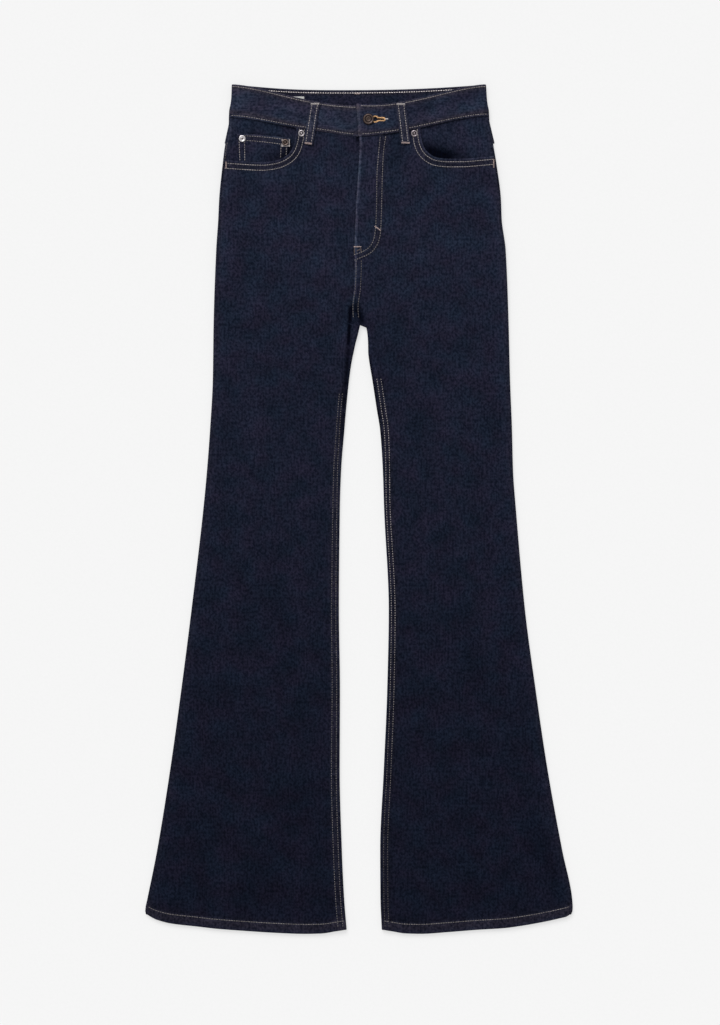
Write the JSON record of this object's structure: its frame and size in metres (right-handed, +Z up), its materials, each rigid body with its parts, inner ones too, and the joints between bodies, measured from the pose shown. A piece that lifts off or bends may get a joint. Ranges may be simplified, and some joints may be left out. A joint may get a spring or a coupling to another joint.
{
  "type": "flared jeans",
  "caption": "Flared five-pocket denim jeans laid flat on their back, with a buttoned waistband, belt loops, riveted pockets and long flared legs.",
  "frame": {"origin": "centre of the bounding box at its base, on the surface that the jeans lie on", "axes": "+X towards the wearer's left, +Y from the hems to the waist, +Z up from the surface, out of the front"},
  "size_m": [0.5732, 1.1379, 0.0137],
  "materials": {
    "denim": "dark indigo twill, matte, with cream topstitching",
    "thread": "cream and tan sewing thread, matte",
    "button_bronze": "dark antique bronze",
    "rivet_nickel": "worn nickel",
    "white_tape": "white woven tape, matte"
  },
  "bodies": {
    "root": {"front_right": "denim", "front_left": "denim", "back_right": "denim", "back_left": "denim", "yoke_right": "denim", "yoke_left": "denim", "back_pocket_right": "denim", "back_pocket_left": "denim", "pocket_facing_right": "denim", "pocket_facing_left": "denim", "coin_pocket": "denim", "waistband_right": "denim", "waistband_left": "denim", "waistband_back": "denim", "belt_loop_front_right": "denim", "belt_loop_front_left": "denim", "belt_loop_side_right": "denim", "belt_loop_side_left": "denim", "belt_loop_back": "denim", "button": "button_bronze", "rivet_pocket_right": "rivet_nickel", "rivet_pocket_left": "rivet_nickel", "rivet_coin_outer": "rivet_nickel", "rivet_coin_inner": "rivet_nickel", "label": "white_tape"}
  },
  "joints": []
}
